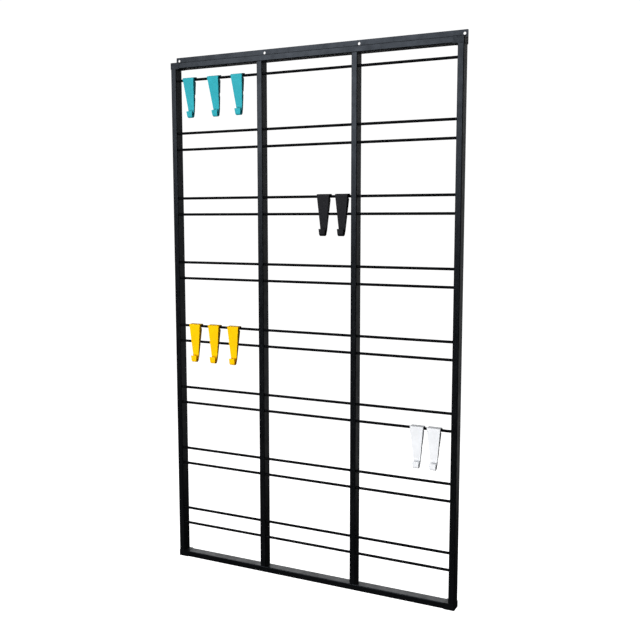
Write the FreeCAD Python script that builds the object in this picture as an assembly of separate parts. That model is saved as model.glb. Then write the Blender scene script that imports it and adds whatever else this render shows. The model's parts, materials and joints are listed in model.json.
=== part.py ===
import FreeCAD, Part
import math
import os

# Wall rack for tools and kitchen or garage things: a black steel frame of four posts and two
# rails, round rods strung across it in pairs, a wall strip to screw it up by, and clip-on
# plastic hooks that slide along the rods.
#
# Millimetres. +X is to the right as seen from the room, +Y points into the wall, +Z is up.
# The origin is on the wall plane, half-way between the wall screws, at their height.

# ---- frame -------------------------------------------------------------------------------
FRAME_WIDTH = 940.0             # over the corner connectors
FRAME_HEIGHT = 1580.0           # over the corner connectors, without the wall strip
TUBE_WIDTH = 18.0               # face of a post or rail, as seen from the front
TUBE_DEPTH = 32.0               # from front to back
TUBE_WALL = 1.5
TUBE_RADIUS = 2.0               # outside corners of the tube
CONNECTOR_PROUD = 1.0           # the connectors stand out this much past the tubes
CONNECTOR_WIDTH = 32.0          # along the rail
CONNECTOR_RADIUS = 2.0
SPIGOT_LENGTH = 28.0            # how far a connector reaches into a tube
SPIGOT_CLEARANCE = 0.2          # gap all round a spigot or plug in its tube
SPIGOT_CHAMFER = 1.5
PLUG_LENGTH = 24.0              # threaded plug in each end of a middle post

# ---- wall strip --------------------------------------------------------------------------
STRIP_THICKNESS = 2.0
STRIP_RISE = 20.0               # part that shows above the frame
STRIP_RADIUS = 2.0
WALL_HOLE_DIAMETER = 8.0

# ---- rods --------------------------------------------------------------------------------
ROD_DIAMETER = 8.0
ROD_SETBACK = 7.0               # rod axis behind the front face of the posts
ROD_HOLE_CLEARANCE = 0.2        # radial
ROD_END_GAP = 0.3               # rod end to the outer wall of the end post
TOP_ROD_DROP = 55.0             # top of the frame to the single rod
FIRST_PAIR_DROP = 160.0         # single rod to the first pair
FOOT_DROP = 115.0               # lowest rod to the bottom of the frame
PAIR_GAP = 50.0                 # upper to lower rod of a pair
PAIR_COUNT = 7

# ---- screws ------------------------------------------------------------------------------
RAIL_SCREW_DIAMETER = 5.0
RAIL_SCREW_LENGTH = 36.0
BACK_SCREW_DIAMETER = 4.0
STRIP_SCREW_LENGTH = 9.0
SPIGOT_SCREW_LENGTH = 11.0
SPIGOT_SCREW_PLACE = 14.0       # from the connector block to the screw
SCREW_CLEARANCE = 0.1           # radial, for shank and head
HEAD_RATIO = 1.9                # head diameter over shank diameter
SOCKET_RATIO = 0.62             # hexagon across flats over shank diameter
SOCKET_DEPTH_RATIO = 0.45       # of the shank diameter

# ---- hooks -------------------------------------------------------------------------------
HOOK_HEIGHT = 120.0
HOOK_TOP_WIDTH = 40.0
HOOK_FOOT_WIDTH = 17.0
HOOK_PLATE = 3.0                # thickness of the plate, the top and the lip
HOOK_LEG = 2.4                  # thickness of the leg behind the rod
HOOK_SEAT_GAP = 0.3             # between a rod and the hook that it carries
HOOK_PLAY = 1.0                 # how much wider the rod channel is, besides both gaps
HOOK_NECK = 9.2                 # front face to the channel
HOOK_NECK_DROP = 1.5            # front wall of the channel, below the rod's axis
HOOK_LEG_RISE = 1.0             # end of the leg, above the rod's axis
HOOK_SIDE_WALL = 2.4            # ribs along both edges, behind the plate
HOOK_RIB_DROP = 8.6             # upper end of the ribs, below the rod's axis
HOOK_RIB_TOP = 15.2             # depth of the ribs there, from the front face
HOOK_RIB_FOOT = 5.4             # and at their lower end
HOOK_RIB_END = 8.0              # where the ribs run out, above the foot's bend
HOOK_WEB = 2.5                  # wall between the channel and the hollow behind the plate
HOOK_NOTCH = 7.7                # front face to the notch for the lower rod of a pair
HOOK_NOTCH_CLEARANCE = 0.8      # above and below that rod
HOOK_GAP = 9.0                  # inside the J
HOOK_LIP = 21.0                 # height of the lip
HOOK_TOP_RADIUS = 3.5
HOOK_BACK_RADIUS = 4.0
HOOK_CHANNEL_RADIUS = 1.5
HOOK_TIP_RADIUS = 1.0           # at the end of the leg
HOOK_EDGE_RADIUS = 1.0          # along both outlines of the plate and the J

# Hooks in the bays: name, bay from the left, rod, the post that the hook's middle is measured
# from, how far it is from that post, and its angle. A hook with no angle leans on the lower
# rod of its pair.
HOOKS = [
    ("hook_teal_left", 0, "rod_top", "left", 50.0, 9.0),
    ("hook_teal_middle", 0, "rod_top", "left", 139.0, 11.5),
    ("hook_teal_right", 0, "rod_top", "left", 222.5, 10.0),
    ("hook_black_left", 1, "rod_2_upper", "right", 85.0, None),
    ("hook_black_right", 1, "rod_2_upper", "right", 26.5, None),
    ("hook_yellow_left", 0, "rod_4_upper", "left", 59.5, None),
    ("hook_yellow_middle", 0, "rod_4_upper", "left", 129.5, None),
    ("hook_yellow_right", 0, "rod_4_upper", "left", 200.5, None),
    ("hook_white_left", 2, "rod_5_lower", "right", 98.5, 4.0),
    ("hook_white_right", 2, "rod_5_lower", "right", 48.0, 3.5),
]

# ---- for the solid work ------------------------------------------------------------------
CUT_PAST = 1.0                  # a cut runs this far past the face that it goes through
SAME_PLACE = 1e-6               # closer than this is the same place
ALONG = 0.999                   # cosine above which a line counts as running along another

# ---- worked out --------------------------------------------------------------------------
FRAME_TOP = -STRIP_RISE / 2
FRAME_BOTTOM = FRAME_TOP - FRAME_HEIGHT
BACK = -STRIP_THICKNESS
FRONT = BACK - TUBE_DEPTH
TUBE_MID_Y = (BACK + FRONT) / 2
RAIL_TOP = FRAME_TOP - CONNECTOR_PROUD
RAIL_BOTTOM = FRAME_BOTTOM + CONNECTOR_PROUD
BLOCK_HEIGHT = TUBE_WIDTH + 2 * CONNECTOR_PROUD
RAIL_HALF = FRAME_WIDTH / 2 - CONNECTOR_WIDTH
POST_SPAN = FRAME_WIDTH - 2 * CONNECTOR_PROUD - TUBE_WIDTH
POST_X = [POST_SPAN * (place / 3 - 0.5) for place in range(4)]
POST_NAMES = ["post_left", "post_middle_left", "post_middle_right", "post_right"]
ROD_RADIUS = ROD_DIAMETER / 2
ROD_Y = FRONT + ROD_SETBACK
PAIRS_SPAN = FRAME_HEIGHT - TOP_ROD_DROP - FIRST_PAIR_DROP - PAIR_GAP - FOOT_DROP
PAIR_PITCH = PAIRS_SPAN / (PAIR_COUNT - 1)
RODS = {"rod_top": FRAME_TOP - TOP_ROD_DROP}
for pair in range(PAIR_COUNT):
    upper = RODS["rod_top"] - FIRST_PAIR_DROP - pair * PAIR_PITCH
    RODS[f"rod_{pair + 1}_upper"] = upper
    RODS[f"rod_{pair + 1}_lower"] = upper - PAIR_GAP


def box(x, y, z):
    """A box from three (low, high) pairs."""
    corner = FreeCAD.Vector(x[0], y[0], z[0])
    return Part.makeBox(x[1] - x[0], y[1] - y[0], z[1] - z[0], corner)


def edges_along(shape, axis):
    """The straight edges of a shape that run along one axis."""
    found = []
    for edge in shape.Edges:
        straight = isinstance(edge.Curve, Part.Line)
        if straight and abs(edge.tangentAt(edge.FirstParameter)[axis]) > ALONG:
            found.append(edge)
    return found


def rounded_box(x, y, z, axis, radius):
    """A box with its four edges along one axis rounded."""
    block = box(x, y, z)
    return block.makeFillet(radius, edges_along(block, axis))


def tube(x, y, z, axis):
    """A rectangular tube along one axis, with rounded corners and square ends."""
    outer = rounded_box(x, y, z, axis, TUBE_RADIUS)
    inner_spans = []
    for place, span in enumerate((x, y, z)):
        inset = -CUT_PAST if place == axis else TUBE_WALL
        inner_spans.append((span[0] + inset, span[1] - inset))
    return outer.cut(rounded_box(*inner_spans, axis, TUBE_RADIUS - TUBE_WALL))


def cylinder(radius, start, direction, length):
    return Part.makeCylinder(radius, length, FreeCAD.Vector(*start), FreeCAD.Vector(*direction))


def screw_shape(radius, length, start, direction, clearance):
    """Shank and 90-degree countersunk head, starting flush with the surface at start."""
    head = radius * HEAD_RATIO
    base = FreeCAD.Vector(*start)
    axis = FreeCAD.Vector(*direction)
    cone = Part.makeCone(head + clearance, radius + clearance, head - radius, base, axis)
    shank = cylinder(radius + clearance, start, direction, length + clearance)
    return cone.fuse(shank)


def screw(radius, length, start, direction):
    """A countersunk screw with a hexagon socket."""
    body = screw_shape(radius, length, start, direction, 0.0)
    base = FreeCAD.Vector(*start)
    axis = FreeCAD.Vector(*direction)
    corner = radius * 2 * SOCKET_RATIO / math.sqrt(3)
    points = []
    for side in range(7):
        turn = math.radians(60 * side)
        points.append(FreeCAD.Vector(corner * math.cos(turn), corner * math.sin(turn), 0))
    hexagon = Part.Face(Part.makePolygon(points))
    hexagon.Placement = FreeCAD.Placement(base, FreeCAD.Rotation(FreeCAD.Vector(0, 0, 1), axis))
    return body.cut(hexagon.extrude(axis * (radius * 2 * SOCKET_DEPTH_RATIO)))


def screw_hole(radius, length, start, direction):
    return screw_shape(radius, length, start, direction, SCREW_CLEARANCE)


def rounded_outline(corners):
    """A closed wire through (u, z, radius) corners, in the plane x = 0, with u along Y."""
    count = len(corners)
    edges = []
    stretches = []
    for place in range(count):
        before = FreeCAD.Vector(0, corners[place - 1][0], corners[place - 1][1])
        here = FreeCAD.Vector(0, corners[place][0], corners[place][1])
        after = FreeCAD.Vector(0, corners[(place + 1) % count][0], corners[(place + 1) % count][1])
        radius = corners[place][2]
        inward = (before - here).normalize()
        outward = (after - here).normalize()
        if radius == 0:
            stretches.append((here, None, here))
            continue
        half = inward.getAngle(outward) / 2
        reach = radius / math.tan(half)
        bisector = (inward + outward).normalize()
        middle = here + bisector * (radius / math.sin(half) - radius)
        stretches.append((here + inward * reach, middle, here + outward * reach))
    for place in range(count):
        start, middle, end = stretches[place]
        if middle is not None:
            edges.append(Part.Arc(start, middle, end).toShape())
        following = stretches[(place + 1) % count][0]
        if end.distanceToPoint(following) > SAME_PLACE:
            edges.append(Part.makeLine(end, following))
    return Part.Wire(edges)


# ---- screws and their places -------------------------------------------------------------
def rail_screws(top):
    """Places of the screws through a rail into the plugs of the middle posts."""
    height = RAIL_TOP if top else RAIL_BOTTOM
    down = -1.0 if top else 1.0
    return [((x, TUBE_MID_Y, height), (0, 0, down)) for x in POST_X[1:3]]


def strip_screws():
    """Screws from the wall side through the strip: into the connectors, and mid-bay."""
    height = RAIL_TOP - TUBE_WIDTH / 2
    spigot = RAIL_HALF - SPIGOT_SCREW_PLACE
    bay_middles = [(POST_X[bay] + POST_X[bay + 1]) / 2 for bay in range(3)]
    return [((x, 0, height), (0, -1, 0)) for x in [-spigot] + bay_middles + [spigot]]


def connector_screws():
    """Screws from the back into the spigots of the posts and of the bottom rail."""
    high = FRAME_TOP - BLOCK_HEIGHT - SPIGOT_SCREW_PLACE
    low = FRAME_BOTTOM + BLOCK_HEIGHT + SPIGOT_SCREW_PLACE
    rail = RAIL_BOTTOM + TUBE_WIDTH / 2
    places = []
    for side in (0, 3):
        places.append(((POST_X[side], BACK, high), (0, -1, 0)))
        places.append(((POST_X[side], BACK, low), (0, -1, 0)))
    for side in (-1, 1):
        places.append(((side * (RAIL_HALF - SPIGOT_SCREW_PLACE), BACK, rail), (0, -1, 0)))
    return places


RAIL_SCREW_RADIUS = RAIL_SCREW_DIAMETER / 2
BACK_SCREW_RADIUS = BACK_SCREW_DIAMETER / 2


def drill(shape, places, radius, length):
    """Cut a countersunk hole at each of the screws' places."""
    for start, direction in places:
        shape = shape.cut(screw_hole(radius, length, start, direction))
    return shape


def drill_all(shape):
    """Cut every screw's hole that meets this shape."""
    shape = drill(shape, rail_screws(True) + rail_screws(False), RAIL_SCREW_RADIUS, RAIL_SCREW_LENGTH)
    shape = drill(shape, strip_screws(), BACK_SCREW_RADIUS, STRIP_SCREW_LENGTH)
    return drill(shape, connector_screws(), BACK_SCREW_RADIUS, SPIGOT_SCREW_LENGTH)


# ---- frame pieces ------------------------------------------------------------------------
def post(place):
    """One post: the outer two stand between connectors, the middle two between the rails."""
    outer = place in (0, 3)
    span_x = (POST_X[place] - TUBE_WIDTH / 2, POST_X[place] + TUBE_WIDTH / 2)
    if outer:
        span_z = (FRAME_BOTTOM + BLOCK_HEIGHT, FRAME_TOP - BLOCK_HEIGHT)
    else:
        span_z = (RAIL_BOTTOM + TUBE_WIDTH, RAIL_TOP - TUBE_WIDTH)
    shape = tube(span_x, (FRONT, BACK), span_z, 2)
    hole_from = -FRAME_WIDTH / 2 + CONNECTOR_PROUD + TUBE_WALL
    for height in RODS.values():
        start = (hole_from, ROD_Y, height)
        hole = cylinder(ROD_RADIUS + ROD_HOLE_CLEARANCE, start, (1, 0, 0), -2 * hole_from)
        shape = shape.cut(hole)
    return drill_all(shape)


def rail(top):
    low = RAIL_TOP - TUBE_WIDTH if top else RAIL_BOTTOM
    shape = tube((-RAIL_HALF, RAIL_HALF), (FRONT, BACK), (low, low + TUBE_WIDTH), 0)
    return drill_all(shape)


def spigot(x, z, axis, outward):
    """The tongue of a connector or plug that fits inside a tube, with a chamfered end."""
    inset = TUBE_WALL + SPIGOT_CLEARANCE
    spans = [x, (FRONT + inset, BACK - inset), z]
    shape = box(*spans)
    end = spans[axis][1] if outward > 0 else spans[axis][0]
    tip = [edge for edge in shape.Edges if abs(edge.CenterOfMass[axis] - end) < SAME_PLACE]
    return shape.makeChamfer(SPIGOT_CHAMFER, tip)


def connector(side, top):
    """Moulded corner: a block that shows, and a spigot into the rail and one into the post."""
    block_low = FRAME_TOP - BLOCK_HEIGHT if top else FRAME_BOTTOM
    block_z = (block_low, block_low + BLOCK_HEIGHT)
    inner = side * RAIL_HALF
    outer = side * FRAME_WIDTH / 2
    block_x = (min(inner, outer), max(inner, outer))
    block = box(block_x, (FRONT - CONNECTOR_PROUD, BACK), block_z)
    seen = [edge for edge in block.Edges if is_seen(edge, outer, block_z[1] if top else block_z[0])]
    block = block.makeFillet(CONNECTOR_RADIUS, seen)

    inset = TUBE_WALL + SPIGOT_CLEARANCE
    rail_low = RAIL_TOP - TUBE_WIDTH if top else RAIL_BOTTOM
    rail_z = (rail_low + inset, rail_low + TUBE_WIDTH - inset)
    tip_x = inner - side * SPIGOT_LENGTH
    rail_tongue = spigot((min(inner, tip_x), max(inner, tip_x)), rail_z, 0, -side)

    post_x = POST_X[3] if side > 0 else POST_X[0]
    post_span = (post_x - TUBE_WIDTH / 2 + inset, post_x + TUBE_WIDTH / 2 - inset)
    if top:
        post_z = (block_z[0] - SPIGOT_LENGTH, block_z[0])
    else:
        post_z = (block_z[1], block_z[1] + SPIGOT_LENGTH)
    post_tongue = spigot(post_span, post_z, 2, -1 if top else 1)
    return drill_all(block.fuse(rail_tongue).fuse(post_tongue).removeSplitter())


def is_seen(edge, outer, end):
    """Whether an edge of a connector block lies on two of its front, outer and end faces."""
    middle = edge.CenterOfMass
    faces = [
        abs(middle.x - outer) < SAME_PLACE,
        abs(middle.y - FRONT + CONNECTOR_PROUD) < SAME_PLACE,
        abs(middle.z - end) < SAME_PLACE,
    ]
    return sum(faces) >= 2


def post_plugs():
    """Threaded plugs in both ends of both middle posts."""
    inset = TUBE_WALL + SPIGOT_CLEARANCE
    plugs = []
    for x in POST_X[1:3]:
        span_x = (x - TUBE_WIDTH / 2 + inset, x + TUBE_WIDTH / 2 - inset)
        post_top = RAIL_TOP - TUBE_WIDTH
        post_foot = RAIL_BOTTOM + TUBE_WIDTH
        upper = spigot(span_x, (post_top - PLUG_LENGTH, post_top), 2, -1)
        lower = spigot(span_x, (post_foot, post_foot + PLUG_LENGTH), 2, 1)
        plugs += [drill_all(upper), drill_all(lower)]
    return Part.makeCompound(plugs)


def wall_strip():
    """Flat steel strip on the back of the top rail, with a wall screw hole over each post."""
    half = FRAME_WIDTH / 2
    span_z = (RAIL_TOP - TUBE_WIDTH, FRAME_TOP + STRIP_RISE)
    strip = rounded_box((-half, half), (BACK, 0), span_z, 1, STRIP_RADIUS)
    for x in POST_X:
        start = (x, BACK - CUT_PAST, 0)
        depth = STRIP_THICKNESS + 2 * CUT_PAST
        strip = strip.cut(cylinder(WALL_HOLE_DIAMETER / 2, start, (0, 1, 0), depth))
    return drill(strip, strip_screws(), BACK_SCREW_RADIUS, STRIP_SCREW_LENGTH)


def rod(height):
    """A rod through both middle posts, with its ends trapped inside the outer posts."""
    half = FRAME_WIDTH / 2 - CONNECTOR_PROUD - TUBE_WALL - ROD_END_GAP
    return cylinder(ROD_RADIUS, (-half, ROD_Y, height), (1, 0, 0), 2 * half)


# ---- hooks -------------------------------------------------------------------------------
HOOK_TOP = ROD_RADIUS + HOOK_SEAT_GAP + HOOK_PLATE
HOOK_FOOT = HOOK_TOP - HOOK_HEIGHT
CHANNEL_TOP = ROD_RADIUS + HOOK_SEAT_GAP
CHANNEL_WIDTH = ROD_DIAMETER + 2 * HOOK_SEAT_GAP + HOOK_PLAY
CHANNEL_BACK = HOOK_NECK + CHANNEL_WIDTH
BEND_RADIUS = HOOK_GAP / 2 + HOOK_PLATE
RIB_END = HOOK_FOOT + BEND_RADIUS + HOOK_RIB_END


def hook_side_outline():
    """The hook from the side: u runs back from the front face, z up from the rod's axis."""
    leg_back = CHANNEL_BACK + HOOK_LEG
    lip_front = -HOOK_GAP - HOOK_PLATE
    lip_top = HOOK_FOOT + HOOK_LIP
    gap_floor = HOOK_FOOT + HOOK_PLATE
    tip = HOOK_PLATE / 2
    return rounded_outline([
        (0, HOOK_TOP, HOOK_TOP_RADIUS),
        (leg_back, HOOK_TOP, HOOK_BACK_RADIUS),
        (leg_back, HOOK_LEG_RISE, HOOK_TIP_RADIUS),
        (CHANNEL_BACK, HOOK_LEG_RISE, HOOK_TIP_RADIUS),
        (CHANNEL_BACK, CHANNEL_TOP, HOOK_CHANNEL_RADIUS),
        (HOOK_NECK, CHANNEL_TOP, HOOK_CHANNEL_RADIUS),
        (HOOK_NECK, -HOOK_NECK_DROP, HOOK_CHANNEL_RADIUS),
        (HOOK_RIB_TOP, -HOOK_RIB_DROP, HOOK_CHANNEL_RADIUS),
        (HOOK_RIB_FOOT, RIB_END, HOOK_BACK_RADIUS),
        (HOOK_PLATE, RIB_END - HOOK_RIB_END, 0),
        (HOOK_PLATE, HOOK_FOOT, BEND_RADIUS),
        (lip_front, HOOK_FOOT, BEND_RADIUS),
        (lip_front, lip_top, tip),
        (-HOOK_GAP, lip_top, tip),
        (-HOOK_GAP, gap_floor, HOOK_GAP / 2),
        (0, gap_floor, HOOK_GAP / 2),
    ])


def taper(inset, top, foot, near, far):
    """A block between u = near and far whose sides follow the hook's taper, set in by inset."""
    slope = (HOOK_TOP_WIDTH - HOOK_FOOT_WIDTH) / 2 / HOOK_HEIGHT
    half_top = HOOK_TOP_WIDTH / 2 - slope * (HOOK_TOP - top) - inset
    half_foot = HOOK_TOP_WIDTH / 2 - slope * (HOOK_TOP - foot) - inset
    corners = [(-half_top, top), (half_top, top), (half_foot, foot), (-half_foot, foot), (-half_top, top)]
    outline = Part.makePolygon([FreeCAD.Vector(x, near, z) for x, z in corners])
    return Part.Face(outline).extrude(FreeCAD.Vector(0, far - near, 0))


def hook():
    """One hook, upright, with its front face at u = 0 and the rod's axis at z = 0."""
    reach = HOOK_TOP_WIDTH
    side = Part.Face(hook_side_outline())
    side.translate(FreeCAD.Vector(-reach, 0, 0))
    body = side.extrude(FreeCAD.Vector(2 * reach, 0, 0))
    body = body.common(taper(0, HOOK_TOP + CUT_PAST, HOOK_FOOT - CUT_PAST, -reach, reach))
    outline_edges = [edge for edge in body.Edges if on_front_outline(edge)]
    body = body.makeFillet(HOOK_EDGE_RADIUS, outline_edges)
    web_foot = -HOOK_RIB_DROP - HOOK_WEB
    hollow = taper(HOOK_SIDE_WALL, web_foot, RIB_END - HOOK_RIB_END, HOOK_PLATE, reach)
    neck_hollow = taper(HOOK_SIDE_WALL, CHANNEL_TOP, web_foot - CUT_PAST, HOOK_PLATE, HOOK_NECK - HOOK_WEB)
    notch_half = ROD_RADIUS + HOOK_NOTCH_CLEARANCE
    notch = box((-reach, reach), (HOOK_NOTCH, reach), (-PAIR_GAP - notch_half, -PAIR_GAP + notch_half))
    return body.cut(hollow).cut(neck_hollow).cut(notch)


def on_front_outline(edge):
    """Whether an edge borders a side face and lies on the front face, the bend or the lip."""
    middle = edge.valueAt((edge.FirstParameter + edge.LastParameter) / 2)
    on_side = abs(middle.x) > HOOK_SIDE_WALL and not is_level(edge)
    front = middle.y < SAME_PLACE and middle.z < HOOK_TOP - HOOK_TOP_RADIUS
    bend = middle.z < RIB_END - HOOK_RIB_END
    return on_side and (front or bend)


def is_level(edge):
    """Whether an edge runs straight across the hook, along X."""
    ends = edge.valueAt(edge.LastParameter) - edge.valueAt(edge.FirstParameter)
    return abs(ends.x) > ALONG * ends.Length


def place_hook(shape, bay, rod_name, post_side, distance, tilt):
    """Hang a hook on a rod. With no tilt given it leans on the pair's lower rod."""
    seat = HOOK_NECK + CHANNEL_WIDTH / 2
    if tilt is None:
        seat = CHANNEL_BACK - HOOK_SEAT_GAP - ROD_RADIUS
        rest = HOOK_NOTCH + HOOK_SEAT_GAP + ROD_RADIUS
        tilt = math.degrees(math.asin((seat - rest) / PAIR_GAP))
    placed = shape.copy()
    placed.translate(FreeCAD.Vector(0, -seat, 0))
    placed.rotate(FreeCAD.Vector(0, 0, 0), FreeCAD.Vector(1, 0, 0), tilt)
    if post_side == "left":
        x = POST_X[bay] + TUBE_WIDTH / 2 + distance
    else:
        x = POST_X[bay + 1] - TUBE_WIDTH / 2 - distance
    placed.translate(FreeCAD.Vector(x, ROD_Y, RODS[rod_name]))
    return placed


# ---- build -------------------------------------------------------------------------------
def screws(places, radius, length):
    return Part.makeCompound([screw(radius, length, start, direction) for start, direction in places])


def build():
    nodes = {}
    for place, name in enumerate(POST_NAMES):
        nodes[name] = post(place)
    nodes["top_rail"] = rail(True)
    nodes["bottom_rail"] = rail(False)
    nodes["wall_strip"] = wall_strip()
    for side, hand in ((-1, "left"), (1, "right")):
        nodes[f"connector_top_{hand}"] = connector(side, True)
        nodes[f"connector_bottom_{hand}"] = connector(side, False)
    nodes["post_plugs"] = post_plugs()
    for name, height in RODS.items():
        nodes[name] = rod(height)
    nodes["top_rail_screws"] = screws(rail_screws(True), RAIL_SCREW_RADIUS, RAIL_SCREW_LENGTH)
    nodes["bottom_rail_screws"] = screws(rail_screws(False), RAIL_SCREW_RADIUS, RAIL_SCREW_LENGTH)
    nodes["strip_screws"] = screws(strip_screws(), BACK_SCREW_RADIUS, STRIP_SCREW_LENGTH)
    nodes["connector_screws"] = screws(connector_screws(), BACK_SCREW_RADIUS, SPIGOT_SCREW_LENGTH)
    one_hook = hook()
    for name, bay, rod_name, post_side, distance, tilt in HOOKS:
        nodes[name] = place_hook(one_hook, bay, rod_name, post_side, distance, tilt)
    return nodes


os.makedirs("parts", exist_ok=True)
for name, shape in build().items():
    if not shape.isValid():
        print("not valid:", name)
    shape.exportStep(f"parts/{name}.step")
    bounds = shape.BoundBox
    print(f"{name}: {len(shape.Solids)} solid(s), {shape.Volume / 1000:.1f} cm3,",
          f"{bounds.XLength:.1f} x {bounds.YLength:.1f} x {bounds.ZLength:.1f} mm")
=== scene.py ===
import json
import math

import bpy
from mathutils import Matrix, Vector


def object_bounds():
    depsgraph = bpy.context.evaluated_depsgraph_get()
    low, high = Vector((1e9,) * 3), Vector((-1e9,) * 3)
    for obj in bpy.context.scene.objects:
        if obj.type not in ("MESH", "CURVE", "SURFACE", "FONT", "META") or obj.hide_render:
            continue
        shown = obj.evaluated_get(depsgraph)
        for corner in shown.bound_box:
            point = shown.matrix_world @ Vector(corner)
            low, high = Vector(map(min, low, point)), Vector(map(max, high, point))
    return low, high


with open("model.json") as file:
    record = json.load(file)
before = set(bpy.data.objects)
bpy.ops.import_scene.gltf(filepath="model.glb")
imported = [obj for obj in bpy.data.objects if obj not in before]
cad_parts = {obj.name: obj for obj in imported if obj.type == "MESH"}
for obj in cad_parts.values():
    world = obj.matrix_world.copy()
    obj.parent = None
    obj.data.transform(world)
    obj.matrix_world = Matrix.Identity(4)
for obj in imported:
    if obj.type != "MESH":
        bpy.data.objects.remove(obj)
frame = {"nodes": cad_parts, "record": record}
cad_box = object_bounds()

# A black steel wall rack with round rods and clip-on plastic hooks, in a white studio.
# Every shape of the rack comes from the frame. This script gives it its materials, the
# floor, the lights and the camera. Metres; +X is to the right, +Y points into the wall,
# +Z is up.

SCENE = bpy.context.scene
RACK_FOOT = cad_box[0][2]

# ---- camera and stage ---------------------------------------------------------------------
CAMERA_PLACE = Vector((1.1784, -2.3050, -0.4948))
CAMERA_YAW = math.radians(26.484)       # turned to the left of straight on
CAMERA_PITCH = math.radians(6.495)      # looking down
CAMERA_LENS = 48.99                     # mm
CAMERA_SENSOR = 36.0                    # mm, across
CAMERA_REACH = 200.0                    # farther than the dome
FLOOR_DROP = 0.75                       # floor under the rack's foot
FLOOR_HALF = 30.0
FLOOR_COLOUR = (0.86, 0.86, 0.86)
FLOOR_ROUGHNESS = 0.7
FLOOR_GLOW = 1.1
DOME_RADIUS = 60.0
DOME_RINGS = 12
DOME_SLICES = 24
DOME_WHITE = 1.05
WHITE = (1.0, 1.0, 1.0, 1.0)

# ---- light --------------------------------------------------------------------------------
AMBIENT_COLOUR = (0.85, 0.92, 1.0)
AMBIENT_STRENGTH = 0.02
SOFTBOXES = [
    # name, place, aim, width, height, watts, colour, whether it shows in gloss
    ("key", (-1.4, -3.2, 0.7), (0.0, 0.0, -0.5), 2.3, 1.8, 58.0, (0.95, 0.97, 1.0), True),
    ("fill", (-0.7, -3.4, -1.3), (0.0, 0.0, -1.0), 2.4, 2.0, 112.0, (1.0, 1.0, 1.0), False),
    ("top", (0.0, -0.8, 2.0), (0.0, 0.0, -0.8), 2.6, 1.0, 10.0, (0.95, 0.97, 1.0), True),
    ("back", (-1.5, 4.5, 0.6), (0.0, 0.0, -0.7), 5.0, 1.8, 45.0, (1.0, 1.0, 1.0), True),
    ("side", (2.1, 3.5, -0.8), (0.0, 0.0, -0.8), 1.6, 3.4, 6.0, (1.0, 1.0, 0.98), True),
]


# ---- material parts -----------------------------------------------------------------------
# Each grain is (metres across, detail of the noise), and each depth is in metres.
NOISE_RANGE = (0.3, 0.7)                # most of a noise lies between these
MIX_COLOURS = (6, 7)                    # colour inputs of a Mix node
MIX_RESULT = 2                          # and its colour output

COAT_TINT = (0.78, 0.87, 1.0, 1.0)
COAT_LEVEL = 0.34                       # strength of the coat's gloss, and of the nylon's
COAT_PATCHES = (0.09, 3.0)
COAT_TONES = (0.8, 1.25)                # darkest and palest patch, over the coat's colour
COAT_GLOSS_GRAIN = (0.03, 4.0)
COAT_GLOSS_SPREAD = 0.06                # roughness, either way
COAT_PEEL = (0.0016, 1.0)
COAT_PEEL_DEPTH = 0.00002
COAT_SAND = (0.00035, 2.0)
COAT_SAND_DEPTH = 0.00001

PLASTIC_CLOUDS = (0.025, 2.0)
PLASTIC_TONES = (0.94, 1.04)
PLASTIC_GLOSS_GRAIN = (0.008, 3.0)
PLASTIC_GLOSS_SPREAD = 0.05
PLASTIC_WAVES = (0.012, 1.0)
PLASTIC_WAVE_DEPTH = 0.00012
PLASTIC_GRAIN = (0.0005, 2.0)
NYLON_GRAIN_DEPTH = 0.00003
HOOK_GRAIN_DEPTH = 0.00001

SCREW_SCRATCHES = (0.0006, 4.0)
SCREW_SCRATCH_ROUGHNESS = 0.7
SCREW_GLOSS_SPREAD = 0.1
SCREW_SCRATCH_DEPTH = 0.00001


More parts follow.
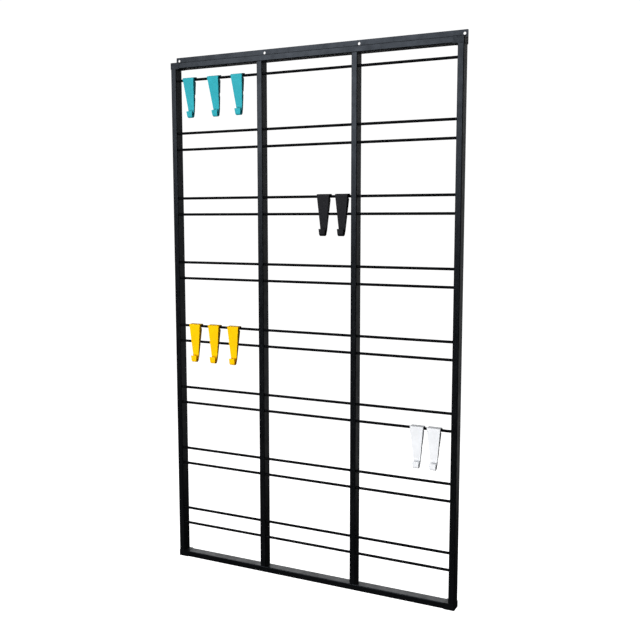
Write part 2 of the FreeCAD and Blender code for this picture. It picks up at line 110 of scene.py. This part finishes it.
class Shader:
    """A Principled material under construction: nodes are added and linked in a few words."""

    def __init__(self, name, colour, roughness, **settings):
        self.material = bpy.data.materials.new(name)
        self.material.use_nodes = True
        self.tree = self.material.node_tree
        self.surface = self.tree.nodes["Principled BSDF"]
        self.set("Base Color", (*colour, 1.0))
        self.set("Roughness", roughness)
        for socket, value in settings.items():
            self.set(socket.replace("_", " "), value)
        self.material.diffuse_color = (*colour, 1.0)
        coordinates = self.tree.nodes.new("ShaderNodeTexCoord")
        self.place = coordinates.outputs["Object"]

    def set(self, socket, value):
        self.surface.inputs[socket].default_value = value

    def link(self, output, target):
        self.tree.links.new(output, target)

    def noise(self, grain, roughness=0.5):
        """Noise of one grain, with a value between 0 and 1."""
        size, detail = grain
        node = self.tree.nodes.new("ShaderNodeTexNoise")
        node.inputs["Scale"].default_value = 1.0 / size
        node.inputs["Detail"].default_value = detail
        node.inputs["Roughness"].default_value = roughness
        self.link(self.place, node.inputs["Vector"])
        return node.outputs["Fac"]

    def spread(self, noise, low, high):
        """A value that goes from low to high as a noise goes through most of its range."""
        node = self.tree.nodes.new("ShaderNodeMapRange")
        node.inputs["From Min"].default_value, node.inputs["From Max"].default_value = NOISE_RANGE
        node.inputs["To Min"].default_value = low
        node.inputs["To Max"].default_value = high
        self.link(noise, node.inputs["Value"])
        return node.outputs["Result"]

    def tones(self, noise, colour, amounts):
        """The colour, darker and paler by two amounts as a noise goes through most of its range."""
        node = self.tree.nodes.new("ShaderNodeMix")
        node.data_type = "RGBA"
        self.link(self.spread(noise, 0.0, 1.0), node.inputs["Factor"])
        for place, amount in zip(MIX_COLOURS, amounts):
            node.inputs[place].default_value = (*(channel * amount for channel in colour), 1.0)
        return node.outputs[MIX_RESULT]

    def gloss(self, noise, roughness, either_way):
        return self.spread(noise, roughness - either_way, roughness + either_way)

    def bump(self, height, distance, below=None):
        """A surface normal pushed by a height; several bumps are stacked with below."""
        node = self.tree.nodes.new("ShaderNodeBump")
        node.inputs["Distance"].default_value = distance
        self.link(height, node.inputs["Height"])
        if below is not None:
            self.link(below, node.inputs["Normal"])
        return node.outputs["Normal"]

    def finish(self, colour=None, roughness=None, normal=None):
        for output, socket in ((colour, "Base Color"), (roughness, "Roughness"), (normal, "Normal")):
            if output is not None:
                self.link(output, self.surface.inputs[socket])
        return self.material


def powder_coat(name, colour, roughness, level):
    """Fine-grained black powder coat: orange peel, a finer sand, and slow changes of gloss."""
    shader = Shader(name, colour, roughness, Specular_IOR_Level=level, Specular_Tint=COAT_TINT)
    tone = shader.tones(shader.noise(COAT_PATCHES), colour, COAT_TONES)
    gloss = shader.gloss(shader.noise(COAT_GLOSS_GRAIN), roughness, COAT_GLOSS_SPREAD)
    peel = shader.bump(shader.noise(COAT_PEEL), COAT_PEEL_DEPTH)
    sand = shader.bump(shader.noise(COAT_SAND), COAT_SAND_DEPTH, peel)
    return shader.finish(tone, gloss, sand)


def moulded_plastic(name, colour, roughness, grain_depth, **settings):
    """Moulded plastic with a faint grain, and slow changes of tone and gloss."""
    shader = Shader(name, colour, roughness, **settings)
    tone = shader.tones(shader.noise(PLASTIC_CLOUDS), colour, PLASTIC_TONES)
    gloss = shader.gloss(shader.noise(PLASTIC_GLOSS_GRAIN), roughness, PLASTIC_GLOSS_SPREAD)
    waves = shader.bump(shader.noise(PLASTIC_WAVES), PLASTIC_WAVE_DEPTH)
    grain = shader.bump(shader.noise(PLASTIC_GRAIN), grain_depth, waves)
    return shader.finish(tone, gloss, grain)


def nylon(name, colour, roughness):
    """The connectors' plastic, with the sheen of the coat beside it."""
    return moulded_plastic(name, colour, roughness, NYLON_GRAIN_DEPTH,
                           Specular_IOR_Level=COAT_LEVEL, Specular_Tint=COAT_TINT)


def hook_plastic(name, colour, roughness, level):
    return moulded_plastic(name, colour, roughness, HOOK_GRAIN_DEPTH, Specular_IOR_Level=level)


def plated_steel(name, colour, roughness):
    """Black-plated screws: metal with fine turned scratches."""
    shader = Shader(name, colour, roughness, Metallic=1.0)
    scratches = shader.noise(SCREW_SCRATCHES, SCREW_SCRATCH_ROUGHNESS)
    gloss = shader.gloss(scratches, roughness, SCREW_GLOSS_SPREAD)
    return shader.finish(None, gloss, shader.bump(scratches, SCREW_SCRATCH_DEPTH))


# Slot: material, from its name, linear colour, roughness and, where it is stated, gloss level.
MATERIALS = {
    "frame_steel": powder_coat("frame powder coat", (0.0030, 0.0032, 0.0036), 0.32, COAT_LEVEL),
    "rod_steel": powder_coat("rod powder coat", (0.0022, 0.0022, 0.0024), 0.5, 0.08),
    "connector_plastic": nylon("connector nylon", (0.0034, 0.0036, 0.004), 0.38),
    "screw_steel": plated_steel("screw black zinc", (0.10, 0.10, 0.105), 0.34),
    "hook_teal": hook_plastic("hook teal", (0.030, 0.39, 0.455), 0.5, 0.25),
    "hook_black": hook_plastic("hook black", (0.007, 0.007, 0.009), 0.45, 0.25),
    "hook_yellow": hook_plastic("hook yellow", (0.97, 0.55, 0.0), 0.5, 0.15),
    "hook_white": hook_plastic("hook white", (0.90, 0.91, 0.93), 0.45, 0.3),
}


def dress_nodes():
    """Give each node of the frame the material of its slot."""
    slots = {part["node"]: part["material_slot"] for part in frame["record"]["subparts"]}
    for name, node in frame["nodes"].items():
        node.data.materials.clear()
        node.data.materials.append(MATERIALS[slots[name]])


# ---- stage --------------------------------------------------------------------------------
def plain_mesh(name, points, faces):
    mesh = bpy.data.meshes.new(name)
    mesh.from_pydata(points, [], faces)
    thing = bpy.data.objects.new(name, mesh)
    SCENE.collection.objects.link(thing)
    return thing


def only_for_camera(thing):
    """Keep a bright stage piece from lighting the rack or showing in its gloss."""
    thing.visible_diffuse = False
    thing.visible_glossy = False


def floor():
    """A pale floor under the rack, bright enough to run into the white around it."""
    height = RACK_FOOT - FLOOR_DROP
    half = FLOOR_HALF
    corners = [(-half, -half, height), (half, -half, height), (half, half, height), (-half, half, height)]
    thing = plain_mesh("floor", corners, [(0, 1, 2, 3)])
    shader = Shader("floor", FLOOR_COLOUR, FLOOR_ROUGHNESS)
    shader.set("Emission Color", WHITE)
    shader.set("Emission Strength", FLOOR_GLOW)
    thing.data.materials.append(shader.material)
    only_for_camera(thing)


def dome():
    """White surroundings that only the camera sees, so that they put no light on the rack."""
    points = []
    for ring in range(DOME_RINGS + 1):
        tilt = math.pi * ring / DOME_RINGS
        for part in range(DOME_SLICES):
            turn = 2 * math.pi * part / DOME_SLICES
            around = (math.sin(tilt) * math.cos(turn), math.sin(tilt) * math.sin(turn), math.cos(tilt))
            points.append(Vector(around) * DOME_RADIUS)
    faces = []
    for ring in range(DOME_RINGS):
        here = ring * DOME_SLICES
        below = here + DOME_SLICES
        for part in range(DOME_SLICES):
            after = (part + 1) % DOME_SLICES
            faces.append((here + part, here + after, below + after, below + part))
    thing = plain_mesh("surroundings", points, faces)
    material = bpy.data.materials.new("surroundings")
    material.use_nodes = True
    tree = material.node_tree
    tree.nodes.remove(tree.nodes["Principled BSDF"])
    glow = tree.nodes.new("ShaderNodeEmission")
    glow.inputs["Strength"].default_value = DOME_WHITE
    tree.links.new(glow.outputs["Emission"], tree.nodes["Material Output"].inputs["Surface"])
    thing.data.materials.append(material)
    only_for_camera(thing)
    thing.visible_shadow = False


# ---- lights and camera --------------------------------------------------------------------
def aim(thing, place, target):
    thing.location = place
    thing.rotation_euler = (Vector(target) - Vector(place)).to_track_quat("-Z", "Y").to_euler()


def lights():
    for name, place, target, width, height, watts, colour, glossy in SOFTBOXES:
        lamp = bpy.data.lights.new(name, "AREA")
        lamp.shape = "RECTANGLE"
        lamp.size = width
        lamp.size_y = height
        lamp.energy = watts
        lamp.color = colour
        thing = bpy.data.objects.new(name, lamp)
        SCENE.collection.objects.link(thing)
        aim(thing, place, target)
        thing.visible_camera = False
        thing.visible_glossy = glossy
    world = bpy.data.worlds.new("studio")
    world.use_nodes = True
    background = world.node_tree.nodes["Background"]
    background.inputs["Color"].default_value = (*AMBIENT_COLOUR, 1.0)
    background.inputs["Strength"].default_value = AMBIENT_STRENGTH
    SCENE.world = world


def camera():
    lens = bpy.data.cameras.new("camera")
    lens.lens = CAMERA_LENS
    lens.sensor_width = CAMERA_SENSOR
    lens.clip_end = CAMERA_REACH
    thing = bpy.data.objects.new("camera", lens)
    SCENE.collection.objects.link(thing)
    thing.location = CAMERA_PLACE
    thing.rotation_euler = (math.pi / 2 - CAMERA_PITCH, 0.0, CAMERA_YAW)
    SCENE.camera = thing


dress_nodes()
floor()
dome()
lights()
camera()
SCENE.view_settings.view_transform = "Standard"


bpy.context.view_layer.update()
